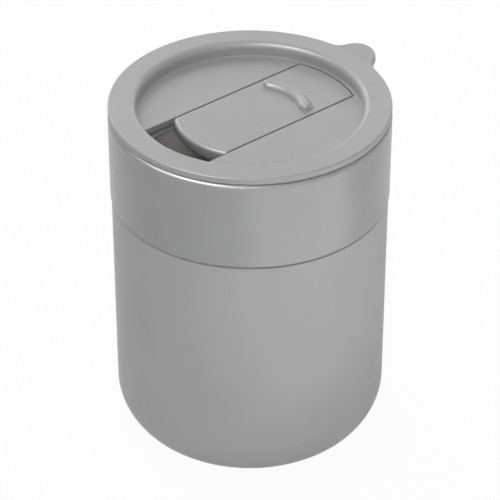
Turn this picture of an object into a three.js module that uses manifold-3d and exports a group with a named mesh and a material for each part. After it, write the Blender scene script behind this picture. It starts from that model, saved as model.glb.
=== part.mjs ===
// Ceramic travel mug: a glazed ceramic cup in a silicone sleeve, shut by a press-in lid whose
// drinking mouth is opened and closed by a sliding shutter.
// Millimetres, +Z up. The origin is the centre of the underside. The drinking mouth lies towards
// -Y and the lifting tab towards +Y. The lid is on and the shutter stands open.

import * as THREE from 'three';
import { mergeVertices } from 'three/addons/utils/BufferGeometryUtils.js';
import Module from 'manifold-3d';

const wasm = await Module();
wasm.setup();

// Fineness of round shapes
const turnSegments = 60; // flats around each turned piece
const cornerSteps = 6; // flats on a large corner in a turned outline
const roundSteps = 3; // flats on a small rounded edge
const planSteps = 6; // pairs of flats on each arc of an outline seen from above

// Clearances
const seatGap = 0.3; // between a piece and the one that it sits on or in
const shutterSideGap = 0.6; // between the shutter and each side of its channel
const shutterEndGap = 0.4; // between the shutter and the channel's end at either end of its slide

// Whole mug
const bodyRadius = 42; // glazed band above the sleeve
const lipHeight = 111.4; // top of the ceramic lip above the table

// Silicone sleeve
const sleeveHeight = 83;
const sleeveInset = 0.35; // how far the sleeve lies inside the glazed band
const sleeveWall = 2;
const sleeveFloor = 2.5;
const sleeveCorner = 15.8; // radius between the underside and the side
const sleeveEdgeRound = 0.4;

// Ceramic cup
const cupWall = 3.5; // wall inside the sleeve
const cupFloor = 4.5;
const bandWall = 5; // wall at the mouth
const bandEdgeRound = 0.5;
const lipOuterRound = 1.5;
const lipInnerRound = 1.2;
const mouthDepth = 14; // straight bore that takes the lid's plug
const mouthTaper = 4; // height over which the bore narrows to the bowl
const bowlCorner = 12; // radius between the inner floor and wall
const footRingWidth = 4;
const footRecess = 0.8;

// Lid
const lidInset = 0.1; // how far the lid's edge lies inside the glazed band
const flangeThickness = 2.1;
const flangeTopRound = 0.8;
const flangeLowerRound = 0.4;
const plugGap = 1.4; // between the plug and the cup's bore, bridged by the seal ring
const plugDepth = 11.7;
const plugLead = 0.6; // chamfer that guides the plug into the bore
const recessWall = 2.1; // between the plug's outside and the recess
const recessDepth = 4.2; // from the rim down to the deck
const recessEdgeRound = 2;
const recessFillet = 0.8;
const deckThickness = 2.4;
const skirtWall = 2.2; // plug wall behind the seal ring

// Lifting tab
const tabReach = 5.4; // beyond the lid's edge, measured along the tab
const tabTipRadius = 7;
const tabRootFillet = 6;
const tabThickness = 1.8;
const tabTilt = 11; // degrees by which the tab rises from the flange
const tabOverlap = 1.5; // how far the tab's plate runs into the flange

// Seal ring
const sealGrooveDepth = 1.4;
const sealGrooveHeight = 5.4;
const sealGrooveDrop = 3.3; // from the seat under the flange down to the groove
const sealFins = 2;
const sealFinPitch = 2.4;
const sealFinRoot = 1.3;
const sealFinTip = 0.5;

// Shutter and its channel
const channelWidth = 25;
const channelEndInset = 0.9; // how far the channel's round ends stay inside the recess wall
const shutterThickness = 2.8;
const shutterTravel = 9.5;
const shutterCorner = 2; // radius of its front corners seen from above
const tongueReach = 1.4; // how far each side tongue stands out under the deck
const tongueThickness = 0.9;
const troughWall = 1.6;
const troughFloor = 1.5;
const mouthSideLedge = 0.6; // ledge along each side of the mouth that the shutter runs on
const mouthFrontLedge = 1.7; // ledge at the front of the mouth that the closed shutter covers
const mouthOverlap = 1.2; // how far the open shutter hangs over the back of the mouth

// Thumb ridge on the shutter: a hump bent about the mug's axis, steep in front and falling off behind
const ridgeFootRadius = 14.5; // foot of its steep front
const ridgeWidth = 5.9;
const ridgeHeight = 1.9;
const ridgeCrestSetback = 1.7; // from the front foot to the crest
const ridgeHalfAngle = 37; // degrees from the middle to the tip of either round end
const ridgeRoot = 1; // how deep the ridge is rooted in the shutter

// Sizes that follow
const sleeveRadius = bodyRadius - sleeveInset;
const sleeveInnerRadius = sleeveRadius - sleeveWall;
const sleeveInnerCorner = sleeveCorner - sleeveWall;
const cupOuterRadius = sleeveInnerRadius - seatGap;
const cupOuterCorner = sleeveInnerCorner - seatGap;
const cupInnerRadius = cupOuterRadius - cupWall;
const cupUnderside = sleeveFloor + seatGap;
const bowlFloor = cupUnderside + cupFloor;
const bandUnderside = sleeveHeight + seatGap;
const mouthRadius = bodyRadius - bandWall;

const lidRadius = bodyRadius - lidInset;
const plugRadius = mouthRadius - plugGap;
const grooveRadius = plugRadius - sealGrooveDepth;
const skirtInnerRadius = grooveRadius - skirtWall;
const recessRadius = plugRadius - recessWall;
const recessFootRadius = recessRadius - recessFillet;
const rimInnerRadius = recessRadius + recessEdgeRound;

// The tab seen from above: its tip's centre, its right fillet's centre and the line along which it bends up
const tabTipY = lidRadius + tabReach - tabTipRadius;
const tabFilletReach = lidRadius + tabRootFillet;
const tabTipToFillet = tabTipRadius + tabRootFillet;
const tabFilletY = (tabFilletReach ** 2 - tabTipToFillet ** 2 + tabTipY ** 2) / (2 * tabTipY);
const tabFilletX = Math.sqrt(tabFilletReach ** 2 - tabFilletY ** 2);
const tabBendY = lidRadius * tabFilletY / tabFilletReach;

// Heights on the lid, measured from the seat under its flange
const deckTop = flangeThickness - recessDepth;
const deckUnderside = deckTop - deckThickness;
const grooveTop = -sealGrooveDrop;
const grooveBottom = grooveTop - sealGrooveHeight;
const channelFloor = deckTop - shutterThickness - seatGap;
const troughUnderside = channelFloor - troughFloor;
const tongueSlotTop = deckTop - shutterThickness + tongueThickness + seatGap;

const channelHalf = channelWidth / 2;
const channelEndRadius = recessRadius - channelEndInset;
const shutterHalf = channelHalf - shutterSideGap;
const tongueHalf = shutterHalf + tongueReach;
const tongueSlotHalf = channelHalf + tongueReach;
const troughHalf = tongueSlotHalf + troughWall;
const mouthHalf = channelHalf - mouthSideLedge;
const shutterRearRadius = channelEndRadius - shutterEndGap;
const shutterFrontRadius = shutterRearRadius - shutterTravel;
const mouthFrontRadius = channelEndRadius - mouthFrontLedge;
const mouthRearRadius = shutterFrontRadius - mouthOverlap;

// Materials
const glaze = new THREE.MeshStandardMaterial({ color: 0xa4a4a4, roughness: 0.2, metalness: 0 });
const silicone = new THREE.MeshStandardMaterial({ color: 0xa9a9a9, roughness: 0.65, metalness: 0 });
const lidPlastic = new THREE.MeshStandardMaterial({ color: 0xb0b0b0, roughness: 0.55, metalness: 0 });
const sealRubber = new THREE.MeshStandardMaterial({ color: 0xd8d8d8, roughness: 0.6, metalness: 0 });

// Points along an arc, with angles in degrees
function arc(centreX, centreY, radius, from, to, steps) {
  const start = THREE.MathUtils.degToRad(from);
  const end = THREE.MathUtils.degToRad(to);
  return new THREE.EllipseCurve(centreX, centreY, radius, radius, start, end, to < from).getPoints(steps);
}

function at(radius, height) {
  return new THREE.Vector2(radius, height);
}

// A piece turned about Z from an outline of radius and height, listed anticlockwise
function turned(outline) {
  const geometry = new THREE.LatheGeometry(outline, turnSegments);
  geometry.rotateX(Math.PI / 2);
  return geometry;
}

// A plate between two heights, from an outline seen from above
function plate(outline, bottom, top) {
  const options = { depth: top - bottom, bevelEnabled: false, curveSegments: planSteps };
  const geometry = new THREE.ExtrudeGeometry(outline, options);
  geometry.translate(0, 0, bottom);
  return geometry;
}

// Booleans
function toSolid(geometry) {
  geometry.deleteAttribute('normal');
  geometry.deleteAttribute('uv');
  const merged = mergeVertices(geometry);
  const vertProperties = new Float32Array(merged.attributes.position.array);
  const triVerts = new Uint32Array(merged.index.array);
  return new wasm.Manifold(new wasm.Mesh({ numProp: 3, vertProperties, triVerts }));
}

function toGeometry(solid) {
  const mesh = solid.getMesh();
  const geometry = new THREE.BufferGeometry();
  geometry.setAttribute('position', new THREE.BufferAttribute(mesh.vertProperties, 3));
  geometry.setIndex(new THREE.BufferAttribute(mesh.triVerts, 1));
  geometry.computeVertexNormals();
  return geometry;
}

// An outline with straight sides along Y and ends that are arcs about the mug's axis
function slidePlan(halfWidth, frontRadius, rearRadius) {
  const front = Math.asin(halfWidth / frontRadius);
  const rear = Math.asin(halfWidth / rearRadius);
  const plan = new THREE.Shape();
  plan.absarc(0, 0, frontRadius, -Math.PI / 2 - front, -Math.PI / 2 + front, false);
  plan.absarc(0, 0, rearRadius, Math.PI / 2 - rear, Math.PI / 2 + rear, false);
  plan.closePath();
  return plan;
}

// The same outline at the shutter's width and ends, with its two front corners rounded
function shutterPlan() {
  const cornerX = shutterHalf - shutterCorner;
  const cornerY = -Math.sqrt((shutterFrontRadius - shutterCorner) ** 2 - cornerX ** 2);
  const front = Math.atan2(cornerX, -cornerY);
  const rear = Math.asin(shutterHalf / shutterRearRadius);
  const plan = new THREE.Shape();
  plan.absarc(0, 0, shutterFrontRadius, -Math.PI / 2 - front, -Math.PI / 2 + front, false);
  plan.absarc(cornerX, cornerY, shutterCorner, -Math.PI / 2 + front, 0, false);
  plan.absarc(0, 0, shutterRearRadius, Math.PI / 2 - rear, Math.PI / 2 + rear, false);
  plan.absarc(-cornerX, cornerY, shutterCorner, Math.PI, 1.5 * Math.PI - front, false);
  plan.closePath();
  return plan;
}

// The drinking mouth, between two arcs about the mug's axis
function mouthPlan() {
  const front = Math.asin(mouthHalf / mouthFrontRadius);
  const rear = Math.asin(mouthHalf / mouthRearRadius);
  const plan = new THREE.Shape();
  plan.absarc(0, 0, mouthFrontRadius, -Math.PI / 2 - front, -Math.PI / 2 + front, false);
  plan.absarc(0, 0, mouthRearRadius, -Math.PI / 2 + rear, -Math.PI / 2 - rear, true);
  plan.closePath();
  return plan;
}

// The tab: a round tip that runs into the lid's edge through two hollow fillets
function tabPlan() {
  const fromAxis = Math.atan2(tabFilletY, tabFilletX);
  const fromTip = Math.atan2(tabFilletY - tabTipY, tabFilletX);
  const innerRadius = lidRadius - tabOverlap;
  const innerX = innerRadius * Math.cos(fromAxis);
  const innerY = innerRadius * Math.sin(fromAxis);
  const plan = new THREE.Shape();
  plan.moveTo(-innerX, innerY);
  plan.lineTo(innerX, innerY);
  plan.absarc(tabFilletX, tabFilletY, tabRootFillet, fromAxis - Math.PI, fromTip - Math.PI, true);
  plan.absarc(0, tabTipY, tabTipRadius, fromTip, Math.PI - fromTip, false);
  plan.absarc(-tabFilletX, tabFilletY, tabRootFillet, -fromTip, -fromAxis, true);
  plan.closePath();
  return plan;
}

// The tab's plate, flush with the flange at the bend and rising from there to its tip
function buildTab() {
  const geometry = plate(tabPlan(), -tabThickness, 0);
  geometry.translate(0, -tabBendY, 0);
  geometry.rotateX(THREE.MathUtils.degToRad(tabTilt));
  geometry.translate(0, tabBendY, flangeThickness);
  return toSolid(geometry);
}

// Silicone sleeve: an open boot that covers the cup's side and base
function buildSleeve() {
  const cornerRadius = sleeveRadius - sleeveCorner;
  const innerCornerRadius = sleeveInnerRadius - sleeveInnerCorner;
  const innerCornerHeight = sleeveFloor + sleeveInnerCorner;
  const edgeRadius = sleeveRadius - sleeveEdgeRound;
  const edgeHeight = sleeveHeight - sleeveEdgeRound;
  return turned([
    at(0, 0),
    ...arc(cornerRadius, sleeveCorner, sleeveCorner, -90, 0, cornerSteps),
    ...arc(edgeRadius, edgeHeight, sleeveEdgeRound, 0, 90, roundSteps),
    at(sleeveInnerRadius, sleeveHeight),
    ...arc(innerCornerRadius, innerCornerHeight, sleeveInnerCorner, 0, -90, cornerSteps),
    at(0, sleeveFloor),
  ]);
}

// Ceramic cup: a thick band at the mouth and a thinner wall below it, inside the sleeve
function buildCup() {
  const cornerRadius = cupOuterRadius - cupOuterCorner;
  const footInnerRadius = cornerRadius - footRingWidth;
  const boreBottom = lipHeight - mouthDepth;
  return turned([
    at(0, cupUnderside + footRecess),
    at(footInnerRadius, cupUnderside + footRecess),
    at(footInnerRadius, cupUnderside),
    ...arc(cornerRadius, cupUnderside + cupOuterCorner, cupOuterCorner, -90, 0, cornerSteps),
    at(cupOuterRadius, bandUnderside),
    ...arc(bodyRadius - bandEdgeRound, bandUnderside + bandEdgeRound, bandEdgeRound, -90, 0, roundSteps),
    ...arc(bodyRadius - lipOuterRound, lipHeight - lipOuterRound, lipOuterRound, 0, 90, roundSteps),
    ...arc(mouthRadius + lipInnerRound, lipHeight - lipInnerRound, lipInnerRound, 90, 180, roundSteps),
    at(mouthRadius, boreBottom),
    at(cupInnerRadius, boreBottom - mouthTaper),
    ...arc(cupInnerRadius - bowlCorner, bowlFloor + bowlCorner, bowlCorner, 0, -90, cornerSteps),
    at(0, bowlFloor),
  ]);
}

// Lid: flange, dished recess and hollow plug, with the shutter's channel and the mouth cut in
function buildLid() {
  const body = toSolid(turned([
    at(0, deckUnderside),
    at(skirtInnerRadius, deckUnderside),
    at(skirtInnerRadius, -plugDepth),
    at(plugRadius - plugLead, -plugDepth),
    at(plugRadius, plugLead - plugDepth),
    at(plugRadius, grooveBottom),
    at(grooveRadius, grooveBottom),
    at(grooveRadius, grooveTop),
    at(plugRadius, grooveTop),
    at(plugRadius, 0),
    ...arc(lidRadius - flangeLowerRound, flangeLowerRound, flangeLowerRound, -90, 0, roundSteps),
    ...arc(lidRadius - flangeTopRound, flangeThickness - flangeTopRound, flangeTopRound, 0, 90, roundSteps),
    ...arc(rimInnerRadius, flangeThickness - recessEdgeRound, recessEdgeRound, 90, 180, roundSteps),
    ...arc(recessFootRadius, deckTop + recessFillet, recessFillet, 0, -90, roundSteps),
    at(0, deckTop),
  ]));
  const troughEndRadius = skirtInnerRadius + skirtWall / 2;
  const troughTop = deckTop - deckThickness / 2;
  const troughPlan = slidePlan(troughHalf, troughEndRadius, troughEndRadius);
  const trough = toSolid(plate(troughPlan, troughUnderside, troughTop));
  const channelPlan = slidePlan(channelHalf, channelEndRadius, channelEndRadius);
  const channel = toSolid(plate(channelPlan, channelFloor, flangeThickness));
  const tongueSlotPlan = slidePlan(tongueSlotHalf, channelEndRadius, channelEndRadius);
  const tongueSlot = toSolid(plate(tongueSlotPlan, channelFloor, tongueSlotTop));
  const mouth = toSolid(plate(mouthPlan(), -plugDepth, flangeThickness));
  return toGeometry(body.add(trough).add(buildTab()).subtract(channel).subtract(tongueSlot).subtract(mouth));
}

// Seal ring: a soft band in the plug's groove with fins that wipe the cup's bore
function buildSealRing() {
  const innerRadius = grooveRadius + seatGap;
  const finRadius = mouthRadius - seatGap;
  const bottom = grooveBottom + seatGap;
  const top = grooveTop - seatGap;
  const firstFin = (bottom + top - (sealFins - 1) * sealFinPitch) / 2;
  const outline = [at(innerRadius, bottom), at(plugRadius, bottom)];
  for (let fin = 0; fin < sealFins; fin += 1) {
    const height = firstFin + fin * sealFinPitch;
    outline.push(at(plugRadius, height - sealFinRoot / 2));
    outline.push(at(finRadius, height - sealFinTip / 2));
    outline.push(at(finRadius, height + sealFinTip / 2));
    outline.push(at(plugRadius, height + sealFinRoot / 2));
  }
  outline.push(at(plugRadius, top), at(innerRadius, top), at(innerRadius, bottom));
  return turned(outline);
}

// The ridge seen from above: a band bent about the mug's axis, with round ends
function ridgePlan() {
  const endRadius = ridgeWidth / 2;
  const middleRadius = ridgeFootRadius + endRadius;
  const turn = THREE.MathUtils.degToRad(ridgeHalfAngle) - Math.asin(endRadius / middleRadius);
  const right = Math.PI / 2 - turn;
  const left = Math.PI / 2 + turn;
  const endX = middleRadius * Math.cos(right);
  const endY = middleRadius * Math.sin(right);
  const plan = new THREE.Shape();
  plan.absarc(0, 0, ridgeFootRadius + ridgeWidth, right, left, false);
  plan.absarc(-endX, endY, endRadius, left, left + Math.PI, false);
  plan.absarc(0, 0, ridgeFootRadius, left, right, true);
  plan.absarc(endX, endY, endRadius, right - Math.PI, right, false);
  plan.closePath();
  return plan;
}

// Thumb ridge: a turned ring of the ridge's section, kept only inside its outline from above
function buildRidge() {
  const crestRadius = ridgeFootRadius + ridgeCrestSetback;
  const rearRun = ridgeWidth - ridgeCrestSetback;
  const rear = new THREE.EllipseCurve(crestRadius, 0, rearRun, ridgeHeight, 0, Math.PI / 2);
  const front = new THREE.EllipseCurve(crestRadius, 0, ridgeCrestSetback, ridgeHeight, Math.PI / 2, Math.PI);
  const ring = toSolid(turned([
    at(ridgeFootRadius, -ridgeRoot),
    at(ridgeFootRadius + ridgeWidth, -ridgeRoot),
    ...rear.getPoints(cornerSteps),
    ...front.getPoints(cornerSteps).slice(1),
    at(ridgeFootRadius, -ridgeRoot),
  ]));
  return ring.intersect(toSolid(plate(ridgePlan(), -ridgeRoot, ridgeHeight)));
}

// Shutter: a plate flush with the deck, with side tongues that run under the deck's edges.
// Its heights are measured from the deck.
function buildShutter() {
  const body = toSolid(plate(shutterPlan(), -shutterThickness, 0));
  const tonguePlan = slidePlan(tongueHalf, shutterFrontRadius, shutterRearRadius);
  const tongues = toSolid(plate(tonguePlan, -shutterThickness, tongueThickness - shutterThickness));
  return toGeometry(body.add(tongues).add(buildRidge()));
}

function addPiece(group, name, geometry, material) {
  const mesh = new THREE.Mesh(geometry, material);
  mesh.name = name;
  group.add(mesh);
}

const mug = new THREE.Group();
addPiece(mug, 'silicone_sleeve', buildSleeve(), silicone);
addPiece(mug, 'ceramic_cup', buildCup(), glaze);

const lid = new THREE.Group();
lid.position.z = lipHeight + seatGap;
addPiece(lid, 'lid_body', buildLid(), lidPlastic);
addPiece(lid, 'lid_seal_ring', buildSealRing(), sealRubber);
mug.add(lid);

const shutter = new THREE.Group();
shutter.position.z = deckTop;
addPiece(shutter, 'slide_shutter', buildShutter(), lidPlastic);
lid.add(shutter);

export default mug;
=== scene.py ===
"""Ceramic travel mug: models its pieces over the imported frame, finishes them and sets the stage."""

import math

import bmesh
import bpy
from bpy.props import FloatProperty, FloatVectorProperty, IntProperty, PointerProperty
from bpy.types import NodeSocket, Operator, Panel, PropertyGroup
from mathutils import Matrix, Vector


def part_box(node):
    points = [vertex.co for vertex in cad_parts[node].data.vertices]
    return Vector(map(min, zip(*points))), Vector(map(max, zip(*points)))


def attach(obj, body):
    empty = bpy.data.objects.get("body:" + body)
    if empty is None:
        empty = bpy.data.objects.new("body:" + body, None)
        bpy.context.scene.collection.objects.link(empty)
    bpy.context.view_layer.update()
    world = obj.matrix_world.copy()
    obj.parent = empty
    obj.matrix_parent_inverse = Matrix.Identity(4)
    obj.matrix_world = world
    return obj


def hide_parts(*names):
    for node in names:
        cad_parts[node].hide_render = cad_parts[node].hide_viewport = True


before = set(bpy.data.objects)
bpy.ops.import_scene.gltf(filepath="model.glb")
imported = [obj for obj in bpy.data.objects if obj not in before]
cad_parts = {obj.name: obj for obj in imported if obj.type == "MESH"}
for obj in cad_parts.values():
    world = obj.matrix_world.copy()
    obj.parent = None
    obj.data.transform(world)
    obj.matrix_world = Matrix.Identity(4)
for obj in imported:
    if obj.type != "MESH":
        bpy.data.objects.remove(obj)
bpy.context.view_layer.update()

bl_info = {
    "name": "Ceramic travel mug",
    "version": (1, 0, 0),
    "blender": (4, 5, 0),
    "location": "View3D > Sidebar > Travel Mug",
    "description": "Models a ceramic travel mug with a silicone sleeve, a press-in lid and a sliding shutter",
    "category": "Add Mesh",
}

MM = 0.001
ORIGIN = (0.0, 0.0, 0.0)
UP = (0.0, 0.0, 1.0)
WHITE = (1.0, 1.0, 1.0)

# Making
NEAR = 0.002 * MM  # two places closer than this count as one
SEAT_GAP = 0.3 * MM  # between a piece and the one that it sits on or in
EDGE_DROP = 0.25 * MM  # how far the sleeve's top edge settles, which opens the seam under the band
TAB_STEP = 0.15 * MM  # from the flange's side to where the tab is thinned
LARGE_ROUND = 3 * MM  # a section's corner above this radius gets the large corner's steps
CHANNEL_EDGE_STEPS = 3  # flats on the deck's edges along the channel
FRONT_OVERRUN = math.radians(10.0)  # how far the front edge's cutter runs past either side of the shutter
SIDEWAYS = 0.999  # least X of the normal of a face that looks to the side
CREASE_ANGLE = math.radians(35.0)  # a sharper edge keeps its crease in the shading
PATTERN_LOW, PATTERN_HIGH = 0.3, 0.7  # a noise pattern stays mostly between these
MIX_FIRST, MIX_SECOND, MIX_RESULT = 6, 7, 2  # places of a Mix node's colour sockets

# Stage
LIGHT_DISTANCE = 0.9  # in metres, from the point that the camera looks at to each softbox
LIGHT_TARGET = Vector((0.0, 0.0, 0.06))  # point that the softboxes face
PANEL_SIDE = math.radians(38.0)  # the low panel's place to the camera's right
PANEL_DISTANCE = 0.18  # in metres, from the mug's axis to the low panel
PANEL_HEIGHT = 2 * MM  # the low panel above the floor
SENSOR_WIDTH = 36.0  # the camera's, in millimetres

# Lowest and highest corners of the frame's nodes
sleeve_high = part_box("silicone_sleeve")[1]
cup_low, cup_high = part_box("ceramic_cup")
lid_low, lid_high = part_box("lid_body")
seal_low, seal_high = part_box("lid_seal_ring")
shutter_low, shutter_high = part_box("slide_shutter")


# Properties

def number(name, default, description, unit="NONE", subtype="NONE", precision=3):
    """A number from 0 upwards that a user may change."""
    return FloatProperty(
        name=name,
        description=description,
        default=default,
        min=0.0,
        precision=precision,
        unit=unit,
        subtype=subtype,
    )


def length(name, default, description):
    """A length in metres that a user may change."""
    return number(name, default, description, unit="LENGTH", subtype="DISTANCE", precision=5)


def power(name, default, description):
    """A light's power in watts that a user may change."""
    return number(name, default, description, unit="POWER")


def count(name, default, least, most, description):
    """A whole number that a user may change."""
    return IntProperty(name=name, description=description, default=default, min=least, max=most)


def angle(name, degrees, description):
    """An angle that a user may change, from its degrees."""
    return FloatProperty(
        name=name, description=description, default=math.radians(degrees), unit="ROTATION", subtype="ANGLE"
    )


def colour(name, grey, description):
    """A colour that a user may change, from a neutral grey."""
    default = (grey, grey, grey)
    return FloatVectorProperty(
        name=name, description=description, default=default, min=0.0, max=1.0, size=3, subtype="COLOR"
    )


class MugFineness(PropertyGroup):
    around: count("Steps around", 192, 24, 512, "Flats around each turned piece")
    corner: count("Large corner steps", 18, 3, 48, "Flats on a large rounded corner")
    edge: count("Edge steps", 5, 2, 16, "Flats on a small rounded edge")


class MugSleeveSizes(PropertyGroup):
    radius: length("Radius", sleeve_high.x, "Outside of the sleeve's straight side")
    height: length("Height", sleeve_high.z - EDGE_DROP, "Top edge above the table")
    wall: length("Wall", 2.0 * MM, "Thickness of the side")
    floor: length("Floor", 2.5 * MM, "Thickness of the base")
    corner: length("Lower corner", 15.8 * MM, "Radius between the underside and the side")
    edge_round: length("Top edge rounding", 0.5 * MM, "Radius of the outer top edge")
    inner_edge_round: length("Inner edge rounding", 1.4 * MM, "Radius of the inner top edge")


class MugCupSizes(PropertyGroup):
    radius: length("Band radius", cup_high.x, "Outside of the glazed band")
    lip_height: length("Lip height", cup_high.z, "Top of the lip above the table")
    underside: length("Underside", cup_low.z, "Foot ring above the table")
    seat_gap: length("Gap to the sleeve", SEAT_GAP, "Clearance between the cup and the sleeve")
    wall: length("Wall", 3.5 * MM, "Wall inside the sleeve")
    floor: length("Floor", 4.5 * MM, "Thickness of the base")
    band_wall: length("Band wall", 5.0 * MM, "Wall at the mouth")
    band_edge_round: length("Band edge rounding", 0.35 * MM, "Radius of the band's lower edge")
    seam_gap: length("Seam", SEAT_GAP + EDGE_DROP, "Open joint between the band and the sleeve's top edge")
    lip_outer_round: length("Outer lip rounding", 1.5 * MM, "Radius of the lip's outer edge")
    lip_inner_round: length("Inner lip rounding", 3.4 * MM, "Radius of the lip's inner edge")
    bore_depth: length("Bore depth", 14.0 * MM, "Straight bore that takes the lid's plug")
    bore_taper: length("Bore taper", 4.0 * MM, "Height over which the bore narrows to the bowl")
    bore_round: length("Bore rounding", 8.0 * MM, "Radius where the bore runs into the taper and the bowl")
    bowl_corner: length("Bowl corner", 12.0 * MM, "Radius between the inner floor and wall")
    foot_ring_width: length("Foot ring width", 4.0 * MM, "Flat width of the foot ring")
    foot_recess: length("Foot recess", 0.8 * MM, "Depth of the underside inside the foot ring")
    foot_round: length("Foot rounding", 0.35 * MM, "Radius of the foot ring's inner edges")


class MugLidSizes(PropertyGroup):
    radius: length("Radius", lid_high.x, "Outside of the flange")
    seat: length("Seat", cup_high.z + SEAT_GAP, "Underside of the flange above the table")
    plug_bottom: length("Plug bottom", lid_low.z, "Lower edge of the plug above the table")
    flange_thickness: length("Flange thickness", 2.1 * MM, "Flange from its seat to the rim")
    flange_top_round: length("Upper edge rounding", 0.5 * MM, "Radius of the flange's upper edge")
    flange_lower_round: length("Lower edge rounding", 0.55 * MM, "Radius of the flange's lower edge")
    plug_radius: length("Plug radius", 35.6 * MM, "Outside of the plug")
    plug_lead: length("Plug lead", 0.6 * MM, "Rounding that guides the plug into the bore")
    skirt_wall: length("Skirt wall", 2.2 * MM, "Plug wall behind the seal ring")
    skirt_round: length("Skirt rounding", 0.8 * MM, "Radius between the skirt and the deck's underside")
    groove_depth: length("Groove depth", 1.4 * MM, "Depth of the seal ring's groove")
    groove_top: length("Groove top", 108.4 * MM, "Upper side of the groove above the table")
    groove_height: length("Groove height", 5.4 * MM, "Height of the groove")
    recess_wall: length("Recess wall", 2.1 * MM, "Between the plug's outside and the recess")
    recess_depth: length("Recess depth", 4.2 * MM, "From the rim down to the deck")
    recess_edge_round: length("Recess edge rounding", 2.0 * MM, "Radius of the rim's inner edge")
    recess_fillet: length("Recess fillet", 0.1 * MM, "Radius between the recess wall and the deck")
    deck_thickness: length("Deck thickness", 2.4 * MM, "Thickness of the deck")
    tab_reach: length("Tab reach", 5.4 * MM, "The tab's tip beyond the flange, measured along the tab")
    tab_tip_radius: length("Tab tip radius", 7.0 * MM, "Radius of the tab's tip seen from above")
    tab_root_fillet: length("Tab root fillet", 6.0 * MM, "Radius between the tab and the flange")
    tab_thickness: length("Tab thickness", 1.8 * MM, "Thickness of the tab")
    tab_tilt: angle("Tab tilt", 11.0, "How far the tab rises from the flange")
    tab_bend: length("Tab bend", 1.5 * MM, "Length over which the tab bends upwards")
    tab_bend_lines: count("Tab bend lines", 4, 1, 12, "Creases in the bend")
    channel_width: length("Channel width", 25.0 * MM, "Width of the shutter's channel")
    channel_end_inset: length("Channel end inset", 0.9 * MM, "Channel's ends from the recess wall")
    channel_floor: length("Channel floor", 106.5 * MM, "Floor of the channel above the table")
    channel_edge_round: length("Channel edge rounding", 0.12 * MM, "Radius of the channel's long upper edges")
    slot_reach: length("Slot reach", 1.4 * MM, "How far the tongue slots go under the deck")
    slot_height: length("Slot height", 1.5 * MM, "Top of the tongue slots above the channel's floor")
    slot_drop: length("Slot drop", 0.05 * MM, "How far the slots' floors lie below the channel's")
    slot_end_inset: length("Slot end inset", 0.1 * MM, "Slot's ends from the channel's ends")
    trough_wall: length("Trough wall", 1.6 * MM, "Wall beside the tongue slots")
    trough_floor: length("Trough floor", 1.5 * MM, "Thickness under the channel")
    trough_round: length("Trough rounding", 0.7 * MM, "Radius of the trough's lower edge")
    mouth_half: length("Mouth half width", 12.1 * MM, "Half the width of the drinking mouth")
    mouth_front: length("Mouth front", 30.9 * MM, "Front of the mouth from the mug's axis")
    mouth_rear: length("Mouth rear", 21.5 * MM, "Back of the mouth from the mug's axis")
    mouth_lip: length("Mouth lip", 0.6 * MM, "Thickness of the ledge along the mouth's sides")
    mouth_relief: length("Mouth relief", 1.2 * MM, "How far the mouth widens on either side below the ledge")


class MugSealSizes(PropertyGroup):
    inner_radius: length("Inner radius", 34.5 * MM, "Inside of the ring")
    base_radius: length("Base radius", 35.6 * MM, "Outside of the ring between its fins")
    fin_radius: length("Fin radius", seal_high.x, "Outside of the fins")
    bottom: length("Bottom", seal_low.z, "Lower side above the table")
    top: length("Top", seal_high.z, "Upper side above the table")
    fin_pitch: length("Fin pitch", 2.4 * MM, "From one fin to the next")
    fin_root: length("Fin root", 1.3 * MM, "Thickness of a fin at its root")
    fin_tip: length("Fin tip", 0.5 * MM, "Thickness of a fin at its tip")
    edge_round: length("Edge rounding", 0.2 * MM, "Radius of the ring's edges")
    tip_round: length("Tip rounding", 0.2 * MM, "Radius of the fins' tips")


class MugShutterSizes(PropertyGroup):
    front: length("Front", -shutter_low.y, "Front edge from the mug's axis")
    rear: length("Rear", shutter_high.y, "Rear edge from the mug's axis")
    bottom: length("Bottom", shutter_low.z, "Underside above the table")
    thickness: length("Thickness", 2.8 * MM, "Thickness of the plate")
    half_width: length("Half width", 11.9 * MM, "Half the width of the plate")
    tongue_half: length("Tongue half width", shutter_high.x, "Half the width over the tongues")
    tongue_thickness: length("Tongue thickness", 0.9 * MM, "Thickness of the side tongues")
    front_corner: length("Front corner", 2.0 * MM, "Radius of the front corners seen from above")
    top_edge_round: length("Top edge rounding", 0.15 * MM, "Radius of the side and rear top edges")
    front_edge_round: length("Front edge rounding", 1.3 * MM, "Radius of the front top edge")
    ridge_front: length("Ridge front", 14.6 * MM, "Front foot of the thumb ridge from the mug's axis")
    ridge_width: length("Ridge width", 5.4 * MM, "Width of the thumb ridge")
    ridge_crest: length("Ridge crest", 2.0 * MM, "Crest of the ridge behind its front foot")
    ridge_rise: length("Ridge rise", 1.8 * MM, "Crest of the ridge above the plate")
    ridge_root: length("Ridge root", 1.0 * MM, "How deep the ridge is rooted in the plate")
    ridge_sink: length("Ridge sink", 0.05 * MM, "How deep the ridge's rear foot runs into the plate")
    ridge_tip: length("Ridge tip", 16.9 * MM, "Tips of the ridge from the mug's axis")
    ridge_half_angle: angle("Ridge half angle", 36.5, "From the ridge's middle to either tip")
    ridge_full_angle: angle("Ridge full angle", 28.0, "From the ridge's middle to where it begins to narrow")
    ridge_taper: number("Ridge taper", 0.3, "1 lowers the ends as fast as they narrow, less keeps them high")
    ridge_steps: count("Ridge steps", 96, 12, 192, "Steps along the ridge")
    ridge_edge_steps: count("Ridge edge steps", 10, 3, 24, "Flats on each slope")


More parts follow.
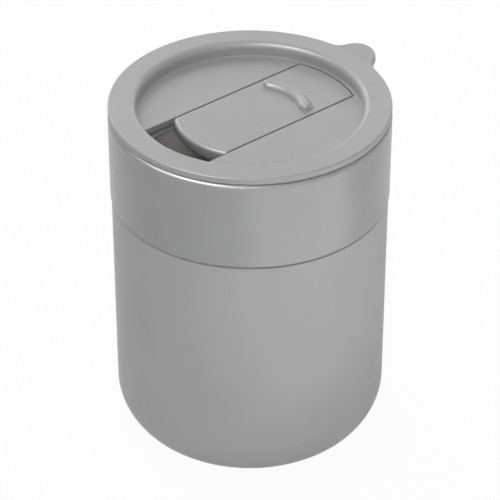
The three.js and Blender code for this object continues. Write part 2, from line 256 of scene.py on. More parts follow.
class MugFinishes(PropertyGroup):
    sleeve: colour("Sleeve", 0.39, "Silicone of the sleeve")
    glaze: colour("Glaze", 0.25, "Glaze on the outside of the cup")
    # Inner glaze: a real glaze inside the cup, made pale enough that it also paints light onto the cup's
    # shaded inside
    inner_glaze_and_painted_light: colour("Inner glaze", 0.8, "Glaze on the inside of the cup")
    bare_clay: colour("Bare clay", 0.62, "Unglazed foot ring")
    lid: colour("Lid", 0.33, "Plastic of the lid")
    shutter: colour("Shutter", 0.33, "Plastic of the shutter")
    seal: colour("Seal ring", 0.68, "Silicone of the seal ring")


class MugStageSettings(PropertyGroup):
    azimuth: angle("Azimuth", 50.0, "Camera's direction round the mug from -Y")
    elevation: angle("Elevation", 34.93, "Camera above the horizon")
    distance: length("Distance", 765.78 * MM, "Camera from the point it looks at")
    aim_height: length("Aim height", 60.36 * MM, "Point the camera looks at, on the mug's axis")
    lens: number("Lens", 180.0, "Focal length in millimetres", unit="CAMERA")
    floor_size: length("Floor size", 6.0, "Side of the floor")
    floor: colour("Floor", 0.75, "Colour of the floor")
    background: colour("Background", 1.0, "What the camera sees behind the mug")
    floor_shadow: number("Floor shadow", 0.05, "How much of the floor's own light and shade the camera sees")
    sky: number("Sky strength", 0.25, "Strength of the even light from all round")
    top: power("Top softbox", 2.0, "Power of the softbox overhead")
    back_left: power("Back left softbox", 3.8, "Power of the large softbox at the back left")
    back_right: power("Back right softbox", 1.5, "Power of the softbox low at the back right")
    front: power("Front light", 1.6, "Power of the small light beside the camera")
    low_left: power("Low left softbox", 0.7, "Power of the softbox low at the left")
    low_right: power("Low right softbox", 0.8, "Power of the softbox low at the right")
    strip: power("Strip light", 22.0, "Power of the strip at the left that shows in the cup's gloss alone")
    high_strip: power("High strip", 18.0, "Power of the strip high at the left that shows in gloss alone")
    panel: power("Low panel", 0.2, "Power of the light panel on the floor in front")


# Outlines, drawn point by point from one vertex

def only_select(piece):
    """Selects just this object and makes it active."""
    bpy.ops.object.select_all(action="DESELECT")
    piece.select_set(True)
    bpy.context.view_layer.objects.active = piece


def edit(piece):
    """Opens just this object in edit mode."""
    only_select(piece)
    bpy.ops.object.mode_set(mode="EDIT")


def begin_outline(name, point):
    """Adds a small plane, merges it into one vertex and moves that to the outline's first point."""
    bpy.ops.object.select_all(action="DESELECT")
    bpy.ops.mesh.primitive_plane_add(size=MM, location=ORIGIN)
    piece = bpy.context.view_layer.objects.active
    piece.name = name
    piece.data.name = name
    bpy.ops.object.mode_set(mode="EDIT")
    bpy.ops.mesh.select_mode(type="VERT")
    bpy.ops.mesh.merge(type="CENTER")
    bpy.ops.transform.translate(value=point)
    return piece


def draw_line(start, end):
    """Extrudes the outline's last vertex from start to end."""
    bpy.ops.mesh.extrude_vertices_move(TRANSFORM_OT_translate={"value": Vector(end) - Vector(start)})


def draw_arc(centre, turn, steps):
    """Spins the outline's last vertex about an upright axis, anticlockwise from above for a positive turn."""
    bpy.ops.mesh.spin(steps=steps, angle=-turn, center=centre, axis=UP, use_auto_merge=False)


def merge_doubles():
    """Selects everything and merges the vertices that lie on each other."""
    bpy.ops.mesh.select_all(action="SELECT")
    bpy.ops.mesh.remove_doubles(threshold=NEAR)


def draw_outline(name, points, closed=True):
    """Draws lines from point to point, and back to the first one if the outline is closed."""
    piece = begin_outline(name, points[0])
    for start, end in zip(points, points[1:]):
        draw_line(start, end)
    if closed:
        draw_line(points[-1], points[0])
        merge_doubles()
    return piece


def fill_outline():
    """Joins the outline's ends and fills it with one face."""
    merge_doubles()
    bpy.ops.mesh.edge_face_add()


def raise_face(height):
    """Extrudes the selected face upwards."""
    bpy.ops.mesh.extrude_region_move(TRANSFORM_OT_translate={"value": (0.0, 0.0, height)})


def tidy_mesh():
    """Merges doubled vertices and turns all faces outwards."""
    merge_doubles()
    bpy.ops.mesh.normals_make_consistent(inside=False)


def close_mesh():
    """Tidies the mesh and leaves edit mode."""
    tidy_mesh()
    bpy.ops.object.mode_set(mode="OBJECT")


def select_where(piece, kind, test):
    """Selects the vertices, edges or faces for which the test is true, and raises an error if none is."""
    mesh = bmesh.from_edit_mesh(piece.data)
    items = {"VERT": mesh.verts, "EDGE": mesh.edges, "FACE": mesh.faces}[kind]
    bpy.ops.mesh.select_all(action="DESELECT")
    bpy.ops.mesh.select_mode(type=kind)
    found = [item for item in items if test(item)]
    for item in found:
        item.select_set(True)
    mesh.select_flush_mode()
    bmesh.update_edit_mesh(piece.data)
    if not found:
        raise RuntimeError(f"nothing to select on {piece.name}")


def at_height(height):
    """A test for edges that lie level at this height."""
    return lambda edge: all(abs(vertex.co.z - height) < NEAR for vertex in edge.verts)


def bevel(affect, offset, steps):
    """Rounds the selected vertices or edges."""
    bpy.ops.mesh.bevel(
        offset_type="OFFSET", offset=offset, segments=steps, profile=0.5, affect=affect, clamp_overlap=False
    )


def bevel_edges(piece, test, rounding, steps):
    """Rounds the edges for which the test is true."""
    select_where(piece, "EDGE", test)
    bevel("EDGES", rounding, steps)


def round_corner(piece, before, corner, after, rounding, steps):
    """Bevels one vertex of a drawn outline to an arc of this radius."""
    half_angle = (before - corner).angle(after - corner) / 2
    select_where(piece, "VERT", lambda vertex: (vertex.co - corner).length < NEAR)
    bevel("VERTICES", rounding / math.tan(half_angle), steps)


def turned_piece(name, corners, fineness):
    """Draws a half section, rounds its corners and spins it about the Z axis.

    A corner is (radius, height) or (radius, height, rounding). A section off the axis is closed.
    """
    points = [Vector((corner[0], 0.0, corner[1])) for corner in corners]
    off_axis = min(point.x for point in points) > NEAR
    piece = draw_outline(name, points, closed=off_axis)
    for index, corner in enumerate(corners):
        if len(corner) == 3:
            before = points[index - 1]
            after = points[(index + 1) % len(points)]
            steps = fineness.corner if corner[2] > LARGE_ROUND else fineness.edge
            round_corner(piece, before, points[index], after, corner[2], steps)
    bpy.ops.mesh.select_all(action="SELECT")
    bpy.ops.mesh.spin(steps=fineness.around, angle=math.tau, center=ORIGIN, axis=UP)
    close_mesh()
    return piece


def arc_steps(turn, fineness):
    """Steps of an arc about the mug's axis, even in number and as fine as a turned piece."""
    return 2 * max(2, math.ceil(abs(turn) / math.tau * fineness.around / 2))


def slide_plate(name, half_width, front, rear, bottom, top, fineness):
    """A plate with straight sides along Y and ends that are arcs about the mug's axis.

    The front lies at -Y and the rear at +Y, or at -Y as well if its radius is negative.
    """
    front_angle = math.asin(half_width / front)
    rear_angle = math.asin(half_width / rear)
    front_y = -front * math.cos(front_angle)
    rear_y = rear * math.cos(rear_angle)
    axis = (0.0, 0.0, bottom)
    piece = begin_outline(name, (-half_width, front_y, bottom))
    draw_arc(axis, 2 * front_angle, arc_steps(2 * front_angle, fineness))
    draw_line((half_width, front_y, bottom), (half_width, rear_y, bottom))
    draw_arc(axis, 2 * rear_angle, arc_steps(2 * rear_angle, fineness))
    draw_line((-half_width, rear_y, bottom), (-half_width, front_y, bottom))
    fill_outline()
    raise_face(top - bottom)
    close_mesh()
    return piece


def combine(piece, tool, operation):
    """Unites the piece with another object or cuts that out of it, and removes the other object."""
    only_select(piece)
    bpy.ops.object.modifier_add(type="BOOLEAN")
    modifier = piece.modifiers[-1]
    modifier.operation = operation
    modifier.solver = "EXACT"
    modifier.object = tool
    bpy.ops.object.modifier_apply(modifier=modifier.name)
    bpy.data.objects.remove(tool)
    if not piece.data.polygons:
        raise RuntimeError(f"{piece.name} is empty after a Boolean")


def finish_piece(piece, body, node, material):
    """Smooths the shading, checks that the piece is closed, gives it its finish and ties it to the frame."""
    mesh = bmesh.new()
    mesh.from_mesh(piece.data)
    open_edges = sum(not edge.is_manifold for edge in mesh.edges)
    volume = mesh.calc_volume(signed=True)
    mesh.free()
    if open_edges or volume <= 0.0:
        raise RuntimeError(f"{piece.name} has {open_edges} open edges and a volume of {volume}")
    only_select(piece)
    bpy.ops.object.shade_smooth_by_angle(angle=CREASE_ANGLE)
    bpy.ops.object.modifier_add(type="WEIGHTED_NORMAL")
    modifier = piece.modifiers[-1]
    modifier.keep_sharp = True
    bpy.ops.object.modifier_apply(modifier=modifier.name)
    piece.data.materials.clear()
    piece.data.materials.append(material)
    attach(piece, body)
    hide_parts(node)


# Finishes

def empty_tree(owner):
    """The node tree of a material or world, without its nodes."""
    owner.use_nodes = True
    owner.node_tree.nodes.clear()
    return owner.node_tree


def add_node(tree, kind, values, **settings):
    """Adds a node with its settings and input values, each another node's output, a number or a colour."""
    node = tree.nodes.new(kind)
    for name, setting in settings.items():
        setattr(node, name, setting)
    for socket, value in values.items():
        if isinstance(value, NodeSocket):
            tree.links.new(value, node.inputs[socket])
        else:
            node.inputs[socket].default_value = value
    return node


def new_finish(name):
    """A material, its node tree and the piece's own coordinates in metres, all that the tree holds yet."""
    material = bpy.data.materials.new(name)
    tree = empty_tree(material)
    coordinates = add_node(tree, "ShaderNodeTexCoord", {}).outputs["Object"]
    return material, tree, coordinates


def show_surface(tree, values):
    """Adds the Principled shader with these inputs and the output that shows it."""
    shader = add_node(tree, "ShaderNodeBsdfPrincipled", values)
    add_node(tree, "ShaderNodeOutputMaterial", {"Surface": shader.outputs["BSDF"]})


def noise(tree, coordinates, size, detail):
    """A noise pattern whose features are about this size in metres."""
    values = {"Vector": coordinates, "Scale": 1.0 / size, "Detail": detail}
    return add_node(tree, "ShaderNodeTexNoise", values).outputs["Fac"]


def map_range(tree, value, start, end, low=0.0, high=1.0, interpolation="SMOOTHSTEP"):
    """Maps what lies between start and end onto the range from low to high."""
    values = {"Value": value, "From Min": start, "From Max": end, "To Min": low, "To Max": high}
    return add_node(tree, "ShaderNodeMapRange", values, interpolation_type=interpolation).outputs["Result"]


def spread(tree, pattern, low=0.0, high=1.0):
    """Maps a noise pattern, which stays near its middle, onto a range of values."""
    return map_range(tree, pattern, PATTERN_LOW, PATTERN_HIGH, low, high, "LINEAR")


def opaque(base, factor=1.0):
    """A colour as a socket takes it, made darker or lighter by a factor."""
    return (*(min(1.0, channel * factor) for channel in base), 1.0)


def blend_colours(tree, factor, first, second, blend_type="MIX"):
    """A colour blended from two, by a factor from 0 to 1. Each is opaque or another node's output."""
    values = {"Factor": factor, MIX_FIRST: first, MIX_SECOND: second}
    node = add_node(tree, "ShaderNodeMix", values, data_type="RGBA", blend_type=blend_type)
    return node.outputs[MIX_RESULT]


def clouded(tree, pattern, base, variation):
    """A colour that a pattern makes darker and lighter by this share."""
    return blend_colours(tree, pattern, opaque(base, 1.0 - variation), opaque(base, 1.0 + variation))


def bump(tree, height, distance, strength, under=None):
    """A bump from a pattern, on top of another bump if one is given."""
    values = {"Height": height, "Distance": distance, "Strength": strength}
    if under is not None:
        values["Normal"] = under
    return add_node(tree, "ShaderNodeBump", values).outputs["Normal"]


def above_height(tree, coordinates, start, end):
    """0 below the first height and 1 above the second, smoothly between."""
    split = add_node(tree, "ShaderNodeSeparateXYZ", {"Vector": coordinates})
    return map_range(tree, split.outputs["Z"], start, end)


def inside_radius(tree, coordinates, radius, blend):
    """1 nearer to the mug's axis than this radius and 0 beyond it, smoothly over a width of blend."""
    level = add_node(tree, "ShaderNodeVectorMath", {0: coordinates, 1: (1.0, 1.0, 0.0)}, operation="MULTIPLY")
    distance = add_node(tree, "ShaderNodeVectorMath", {0: level.outputs["Vector"]}, operation="LENGTH")
    start = radius - blend / 2
    end = radius + blend / 2
    return map_range(tree, distance.outputs["Value"], start, end, low=1.0, high=0.0)


def soft_silicone(name, base, grain_size):
    """Matte moulded silicone: fine grain, a faint cloudiness and a soft sheen at grazing angles."""
    material, tree, coordinates = new_finish(name)
    clouds = spread(tree, noise(tree, coordinates, size=22 * MM, detail=3.0))
    grain = noise(tree, coordinates, grain_size, detail=2.0)
    specks = noise(tree, coordinates, size=0.9 * MM, detail=4.0)
    cloudy = clouded(tree, clouds, base, variation=0.025)
    darkest_speck = opaque(WHITE, 0.94)
    speckled = blend_colours(tree, specks, darkest_speck, opaque(WHITE))
    show_surface(tree, {
        "Base Color": blend_colours(tree, 1.0, cloudy, speckled, "MULTIPLY"),
        "Roughness": spread(tree, specks, low=0.56, high=0.68),
        "Normal": bump(tree, grain, distance=0.02 * MM, strength=0.35),
        "Specular IOR Level": 0.4,
        "Sheen Weight": 0.06,
        "Sheen Roughness": 0.5,
    })
    return material


def fired_glaze(name, base, inner, bare_clay, foot_top, inner_radius):
    """Glazed stoneware: gloss over a slightly uneven coat, paler inside the cup, with a bare foot ring. The
    pale inside is partly painted light: its paleness lightens the shade inside the cup.
    """
    material, tree, coordinates = new_finish(name)
    pooling = spread(tree, noise(tree, coordinates, size=18 * MM, detail=2.0))
    ripple = noise(tree, coordinates, size=9 * MM, detail=1.0)
    pinholes = noise(tree, coordinates, size=0.7 * MM, detail=3.0)
    inside = inside_radius(tree, coordinates, inner_radius, blend=0.8 * MM)
    glaze_edge = 0.4 * MM
    glazed = above_height(tree, coordinates, foot_top, foot_top + glaze_edge)
    # The inside takes the pale inner glaze, which also paints light onto the shade inside the cup
    glaze = blend_colours(tree, inside, clouded(tree, pooling, base, variation=0.03), opaque(inner))
    gloss = spread(tree, pinholes, low=0.32, high=0.38)
    clay_roughness = 0.85
    roughness = add_node(tree, "ShaderNodeMix", {"Factor": glazed, "A": clay_roughness, "B": gloss})
    waves = bump(tree, ripple, distance=0.25 * MM, strength=0.12)
    show_surface(tree, {
        "Base Color": blend_colours(tree, glazed, opaque(bare_clay), glaze),
        "Roughness": roughness.outputs["Result"],
        "Normal": bump(tree, pinholes, distance=0.01 * MM, strength=0.15, under=waves),
        "IOR": 1.5,
        "Coat Weight": 0.15,
        "Coat Roughness": 0.28,
        "Coat IOR": 1.5,
    })
    return material


def moulded_plastic(name, base, smoothest, roughest):
    """Moulded plastic: an eroded mould's fine grain, with a little flow shading and worn, smoother spots."""
    material, tree, coordinates = new_finish(name)
    flow = spread(tree, noise(tree, coordinates, size=14 * MM, detail=2.0))
    grain = noise(tree, coordinates, size=0.25 * MM, detail=3.0)
    handling = noise(tree, coordinates, size=6 * MM, detail=4.0)
    show_surface(tree, {
        "Base Color": clouded(tree, flow, base, variation=0.02),
        "Roughness": spread(tree, handling, smoothest, roughest),
        "Normal": bump(tree, grain, distance=0.015 * MM, strength=0.3),
        "IOR": 1.49,
    })
    return material


# Pieces

class MUG_OT_build_sleeve(Operator):
    """Model the silicone sleeve, an open boot round the cup's side and base"""

    bl_idname = "mug.build_sleeve"
    bl_label = "Sleeve"

    def execute(self, context):
        sizes = context.scene.mug_sleeve
        inner_radius = sizes.radius - sizes.wall
        piece = turned_piece(
            "sleeve",
            [
                (0.0, 0.0),
                (sizes.radius, 0.0, sizes.corner),
                (sizes.radius, sizes.height, sizes.edge_round),
                (inner_radius, sizes.height, sizes.inner_edge_round),
                (inner_radius, sizes.floor, sizes.corner - sizes.wall),
                (0.0, sizes.floor),
            ],
            context.scene.mug_fineness,
        )
        material = soft_silicone("sleeve silicone", context.scene.mug_finishes.sleeve, grain_size=0.22 * MM)
        finish_piece(piece, "mug", "silicone_sleeve", material)
        return {"FINISHED"}


class MUG_OT_build_cup(Operator):
    """Model the glazed cup, with its thick band, its lip and the thinner wall inside the sleeve"""

    bl_idname = "mug.build_cup"
    bl_label = "Cup"

    def execute(self, context):
        sizes = context.scene.mug_cup
        sleeve = context.scene.mug_sleeve
        finishes = context.scene.mug_finishes
        outer_radius = sleeve.radius - sleeve.wall - sizes.seat_gap
        outer_corner = sleeve.corner - sleeve.wall - sizes.seat_gap
        inner_radius = outer_radius - sizes.wall
        foot_inner = outer_radius - outer_corner - sizes.foot_ring_width
        foot_ceiling = sizes.underside + sizes.foot_recess
        band_bottom = sleeve.height + sizes.seam_gap
        bore_radius = sizes.radius - sizes.band_wall
        bore_bottom = sizes.lip_height - sizes.bore_depth
        piece = turned_piece(
            "cup",
            [
                (0.0, foot_ceiling),
                (foot_inner, foot_ceiling, sizes.foot_round),
                (foot_inner, sizes.underside, sizes.foot_round),
                (outer_radius, sizes.underside, outer_corner),
                (outer_radius, band_bottom, sizes.band_edge_round),
                (sizes.radius, band_bottom, sizes.band_edge_round),
                (sizes.radius, sizes.lip_height, sizes.lip_outer_round),
                (bore_radius, sizes.lip_height, sizes.lip_inner_round),
                (bore_radius, bore_bottom, sizes.bore_round),
                (inner_radius, bore_bottom - sizes.bore_taper, sizes.bore_round),
                (inner_radius, sizes.underside + sizes.floor, sizes.bowl_corner),
                (0.0, sizes.underside + sizes.floor),
            ],
            context.scene.mug_fineness,
        )
        material = fired_glaze(
            "grey glaze",
            finishes.glaze,
            # the pale inner glaze, partly painted light on the cup's shaded inside
            finishes.inner_glaze_and_painted_light,
            finishes.bare_clay,
            foot_top=sizes.underside + sizes.foot_round,
            inner_radius=(inner_radius + outer_radius) / 2,
        )
        finish_piece(piece, "mug", "ceramic_cup", material)
        return {"FINISHED"}


class MUG_OT_build_lid(Operator):
    """Model the lid: flange and tab, recess, plug, the shutter's channel and the drinking mouth"""

    bl_idname = "mug.build_lid"
    bl_label = "Lid"

    def execute(self, context):
        sizes = context.scene.mug_lid
        fineness = context.scene.mug_fineness
        rim_top = sizes.seat + sizes.flange_thickness
        deck_top = rim_top - sizes.recess_depth
        deck_underside = deck_top - sizes.deck_thickness
        recess_radius = sizes.plug_radius - sizes.recess_wall
        skirt_inner = sizes.plug_radius - sizes.groove_depth - sizes.skirt_wall
        above = rim_top + sizes.recess_depth
        piece = self.flange(sizes, rim_top, fineness)
        combine(piece, self.plug(sizes, deck_underside, skirt_inner, fineness), "UNION")
        recess = turned_piece(
            "recess",
            [
                (0.0, deck_top),
                (recess_radius, deck_top, sizes.recess_fillet),
                (recess_radius, rim_top, sizes.recess_edge_round),
                (recess_radius + sizes.recess_edge_round, rim_top),
                (recess_radius + sizes.recess_edge_round, above),
                (0.0, above),
            ],
            fineness,
        )
        combine(piece, recess, "DIFFERENCE")
        half = sizes.channel_width / 2
        end = recess_radius - sizes.channel_end_inset
        combine(piece, self.trough(sizes, half, skirt_inner, deck_underside, fineness), "UNION")
        channel = slide_plate("channel", half, end, end, sizes.channel_floor, rim_top, fineness)
        combine(piece, channel, "DIFFERENCE")
        slot_end = end - sizes.slot_end_inset
        slot_bottom = sizes.channel_floor - sizes.slot_drop
        slot_top = sizes.channel_floor + sizes.slot_height
        slot_half = half + sizes.slot_reach
        slots = slide_plate("tongue slots", slot_half, slot_end, slot_end, slot_bottom, slot_top, fineness)
        combine(piece, slots, "DIFFERENCE")
        wider_half = sizes.mouth_half + sizes.mouth_relief
        ledge_underside = sizes.channel_floor - sizes.mouth_lip
        for mouth_half, mouth_top in ((sizes.mouth_half, above), (wider_half, ledge_underside)):
            mouth = slide_plate(
                "mouth",
                mouth_half,
                sizes.mouth_front,
                -sizes.mouth_rear,
                sizes.plug_bottom,
                mouth_top,
                fineness,
            )
            combine(piece, mouth, "DIFFERENCE")
        self.soften_channel(piece, half, deck_top, sizes.channel_edge_round)
        base = context.scene.mug_finishes.lid
        material = moulded_plastic("lid plastic", base, smoothest=0.38, roughest=0.48)
        finish_piece(piece, "lid", "lid_body", material)
        return {"FINISHED"}

    def flange(self, sizes, rim_top, fineness):
        """The flange with its tab, as one plate with rounded edges, thinned and bent upwards at the tab."""
        seat = sizes.seat
        tip_y = sizes.radius + sizes.tab_reach - sizes.tab_tip_radius
        to_axis = sizes.radius + sizes.tab_root_fillet
        to_tip = sizes.tab_tip_radius + sizes.tab_root_fillet
        fillet_y = (to_axis**2 - to_tip**2 + tip_y**2) / (2 * tip_y)
        fillet_x = math.sqrt(to_axis**2 - fillet_y**2)
        from_axis = math.atan2(fillet_y, fillet_x)
        from_tip = math.atan2(fillet_y - tip_y, fillet_x)
        root_x = sizes.radius * math.cos(from_axis)
        root_y = sizes.radius * math.sin(from_axis)
        around = math.pi + 2 * from_axis
        piece = begin_outline("lid", (root_x, root_y, seat))
        draw_arc((fillet_x, fillet_y, seat), from_tip - from_axis, fineness.corner)
        draw_arc((0.0, tip_y, seat), math.pi - 2 * from_tip, 2 * fineness.corner)
        draw_arc((-fillet_x, fillet_y, seat), from_tip - from_axis, fineness.corner)
        draw_arc((0.0, 0.0, seat), around, arc_steps(around, fineness))
        fill_outline()
        raise_face(sizes.flange_thickness)
        tidy_mesh()
        bevel_edges(piece, at_height(rim_top), sizes.flange_top_round, fineness.edge)
        bevel_edges(piece, at_height(seat), sizes.flange_lower_round, fineness.edge)
        bpy.ops.object.mode_set(mode="OBJECT")
        combine(piece, self.under_tab(sizes, rim_top, fineness), "DIFFERENCE")
        self.bend_tab(piece, sizes, root_y, rim_top)
        return piece

    def under_tab(self, sizes, rim_top, fineness):
        """A ring outside the flange that thins the tab from below."""
        inner = sizes.radius + TAB_STEP
        outer = sizes.radius + sizes.tab_reach + sizes.tab_tip_radius
        top = rim_top - sizes.tab_thickness
        bottom = sizes.seat - sizes.flange_thickness
        section = [(inner, bottom), (outer, bottom), (outer, top), (inner, top)]
        return turned_piece("under tab", section, fineness)

    def bend_tab(self, piece, sizes, root_y, rim_top):
        """Creases the plate across the tab's root and turns what lies beyond each crease upwards."""
        lines = sizes.tab_bend_lines
        creases = [root_y + sizes.tab_bend * line / lines for line in range(lines)]
        edit(piece)
        for crease in creases:
            bpy.ops.mesh.select_all(action="SELECT")
            bpy.ops.mesh.bisect(plane_co=(0.0, crease, 0.0), plane_no=(0.0, 1.0, 0.0))
        for crease in reversed(creases):
            select_where(piece, "VERT", lambda vertex: vertex.co.y > crease + NEAR)
            bpy.ops.transform.rotate(
                value=-sizes.tab_tilt / lines, orient_axis="X", center_override=(0.0, crease, rim_top)
            )
        close_mesh()
        if max(vertex.co.z for vertex in piece.data.vertices) <= rim_top + NEAR:
            raise RuntimeError("the tab doesn't rise from the flange")

    def plug(self, sizes, deck_underside, skirt_inner, fineness):
        """The hollow plug under the flange, with the seal ring's groove."""
        groove_radius = sizes.plug_radius - sizes.groove_depth
        groove_bottom = sizes.groove_top - sizes.groove_height
        inside_flange = sizes.seat + sizes.flange_thickness / 2
        return turned_piece(
            "plug",
            [
                (0.0, inside_flange),
                (sizes.plug_radius, inside_flange),
                (sizes.plug_radius, sizes.groove_top),
                (groove_radius, sizes.groove_top),
                (groove_radius, groove_bottom),
                (sizes.plug_radius, groove_bottom),
                (sizes.plug_radius, sizes.plug_bottom, sizes.plug_lead),
                (skirt_inner, sizes.plug_bottom, sizes.plug_lead),
                (skirt_inner, deck_underside, sizes.skirt_round),
                (0.0, deck_underside),
            ],
            fineness,
        )

    def trough(self, sizes, half, skirt_inner, deck_underside, fineness):
        """The trough under the deck that closes the channel from below."""
        trough_half = half + sizes.slot_reach + sizes.trough_wall
        end = skirt_inner + sizes.skirt_wall / 2
        bottom = sizes.channel_floor - sizes.trough_floor
        top = deck_underside + sizes.deck_thickness / 2
        piece = slide_plate("trough", trough_half, end, end, bottom, top, fineness)
        edit(piece)
        bevel_edges(piece, at_height(bottom), sizes.trough_round, fineness.edge)
        bpy.ops.object.mode_set(mode="OBJECT")
        return piece

    def soften_channel(self, piece, half, deck_top, rounding):
        """Rounds the deck's long edges beside the channel."""
        edit(piece)
        level = at_height(deck_top)
        bevel_edges(
            piece,
            lambda edge: level(edge) and all(abs(abs(vertex.co.x) - half) < NEAR for vertex in edge.verts),
            rounding,
            CHANNEL_EDGE_STEPS,
        )
        close_mesh()


class MUG_OT_build_seal_ring(Operator):
    """Model the soft ring in the plug's groove, with the fins that wipe the cup's bore"""

    bl_idname = "mug.build_seal_ring"
    bl_label = "Seal ring"

    def execute(self, context):
        sizes = context.scene.mug_seal
        middle = (sizes.bottom + sizes.top) / 2
        corners = [
            (sizes.inner_radius, sizes.bottom, sizes.edge_round),
            (sizes.base_radius, sizes.bottom, sizes.edge_round),
        ]
        for fin in (middle - sizes.fin_pitch / 2, middle + sizes.fin_pitch / 2):
            corners += [
                (sizes.base_radius, fin - sizes.fin_root / 2, sizes.edge_round),
                (sizes.fin_radius, fin - sizes.fin_tip / 2, sizes.tip_round),
                (sizes.fin_radius, fin + sizes.fin_tip / 2, sizes.tip_round),
                (sizes.base_radius, fin + sizes.fin_root / 2, sizes.edge_round),
            ]
        corners += [
            (sizes.base_radius, sizes.top, sizes.edge_round),
            (sizes.inner_radius, sizes.top, sizes.edge_round),
        ]
        piece = turned_piece("seal_ring", corners, context.scene.mug_fineness)
        material = soft_silicone("seal silicone", context.scene.mug_finishes.seal, grain_size=0.3 * MM)
        finish_piece(piece, "lid", "lid_seal_ring", material)
        return {"FINISHED"}


class MUG_OT_build_shutter(Operator):
    """Model the sliding shutter: plate, side tongues and thumb ridge"""

    bl_idname = "mug.build_shutter"
    bl_label = "Shutter"

    def execute(self, context):
        sizes = context.scene.mug_shutter
        fineness = context.scene.mug_fineness
        piece = self.plate(sizes, fineness)
        combine(piece, self.front_round(sizes, fineness), "DIFFERENCE")
        combine(piece, self.ridge(sizes), "UNION")
        base = context.scene.mug_finishes.shutter
        material = moulded_plastic("shutter plastic", base, smoothest=0.36, roughest=0.46)
        finish_piece(piece, "shutter", "slide_shutter", material)
        return {"FINISHED"}

    def plate(self, sizes, fineness):
        """The plate, rounded at its front corners, with a tongue along the foot of either side."""
        bottom = sizes.bottom
        corner_x = sizes.half_width - sizes.front_corner
        corner_y = -math.sqrt((sizes.front - sizes.front_corner) ** 2 - corner_x**2)
        front_angle = math.atan2(corner_x, -corner_y)
        rear_angle = math.asin(sizes.half_width / sizes.rear)
        rear_y = sizes.rear * math.cos(rear_angle)
        front_x = sizes.front * math.sin(front_angle)
        front_y = -sizes.front * math.cos(front_angle)
        corner_turn = math.pi / 2 - front_angle
        axis = (0.0, 0.0, bottom)
        piece = begin_outline("shutter", (-front_x, front_y, bottom))
        draw_arc(axis, 2 * front_angle, arc_steps(2 * front_angle, fineness))
        draw_arc((corner_x, corner_y, bottom), corner_turn, fineness.edge)
        draw_line((sizes.half_width, corner_y, bottom), (sizes.half_width, rear_y, bottom))
        draw_arc(axis, 2 * rear_angle, arc_steps(2 * rear_angle, fineness))
        draw_line((-sizes.half_width, rear_y, bottom), (-sizes.half_width, corner_y, bottom))
        draw_arc((-corner_x, corner_y, bottom), corner_turn, fineness.edge)
        fill_outline()
        raise_face(sizes.tongue_thickness)
        raise_face(sizes.thickness - sizes.tongue_thickness)
        tidy_mesh()
        self.pull_tongues(piece, sizes, rear_y)
        bevel_edges(piece, at_height(bottom + sizes.thickness), sizes.top_edge_round, fineness.edge)
        bpy.ops.object.mode_set(mode="OBJECT")
        return piece

    def pull_tongues(self, piece, sizes, rear_y):
        """Pulls a tongue out of the foot of either side, its rear corner on the arc of the rear edge."""
        reach = sizes.tongue_half - sizes.half_width
        tongue_top = sizes.bottom + sizes.tongue_thickness
        for side in (-1, 1):
            select_where(
                piece,
                "FACE",
                lambda face: face.normal.x * side > SIDEWAYS and face.calc_center_median().z < tongue_top,
            )
            bpy.ops.mesh.extrude_region_move(TRANSFORM_OT_translate={"value": (side * reach, 0.0, 0.0)})
        select_where(
            piece,
            "VERT",
            lambda vertex: abs(vertex.co.x) > sizes.half_width + NEAR and vertex.co.y > rear_y - NEAR,
        )
        tongue_rear_y = math.sqrt(sizes.rear**2 - sizes.tongue_half**2)
        bpy.ops.transform.translate(value=(0.0, tongue_rear_y - rear_y, 0.0))
        tidy_mesh()

    def front_round(self, sizes, fineness):
        """A cutter that rounds the front top edge, spun about the mug's axis across the shutter's front."""
        top = sizes.bottom + sizes.thickness
        rounding = sizes.front_edge_round
        inner = sizes.front - rounding
        outer = sizes.front + rounding
        section = (
            (inner, top),
            (sizes.front, top),
            (sizes.front, top - rounding),
            (outer, top - rounding),
            (outer, top + rounding),
            (inner, top + rounding),
        )
        corners = [Vector((0.0, -radius, height)) for radius, height in section]
        piece = draw_outline("front round", corners)
        round_corner(piece, corners[0], corners[1], corners[2], rounding, 2 * fineness.edge)
        fill_outline()
        turn = 2 * (math.asin(sizes.half_width / sizes.front) + FRONT_OVERRUN)
        bpy.ops.transform.rotate(value=turn / 2, orient_axis="Z", center_override=ORIGIN)
        bpy.ops.mesh.spin(steps=arc_steps(turn, fineness), angle=-turn, center=ORIGIN, axis=UP)
        close_mesh()
        return piece

    def ridge(self, sizes):
        """The thumb ridge: a section spun about the mug's axis, narrowed and lowered towards both tips."""
        deck = sizes.bottom + sizes.thickness
        half = sizes.ridge_half_angle
        steps = sizes.ridge_steps
        tip = sizes.ridge_tip
        corners = [
            Vector((-radius * math.sin(half), radius * math.cos(half), height))
            for radius, height in self.ridge_section(sizes, deck)
        ]
        piece = draw_outline("ridge", corners)
        bpy.ops.mesh.spin(steps=steps, angle=2 * half, center=ORIGIN, axis=UP)
        for ring in range(steps + 1):
            turn = half * (2 * ring / steps - 1)
            narrowing = (abs(turn) - sizes.ridge_full_angle) / (half - sizes.ridge_full_angle)
            if narrowing <= 0.0:
                continue
            width = math.sqrt(max(0.0, 1.0 - narrowing**2))
            select_where(
                piece, "VERT", lambda vertex: abs(math.atan2(vertex.co.x, vertex.co.y) - turn) < half / steps
            )
            bpy.ops.transform.resize(
                value=(width, width, width**sizes.ridge_taper),
                center_override=(tip * math.sin(turn), tip * math.cos(turn), deck - sizes.ridge_root / 2),
            )
        close_mesh()
        return piece

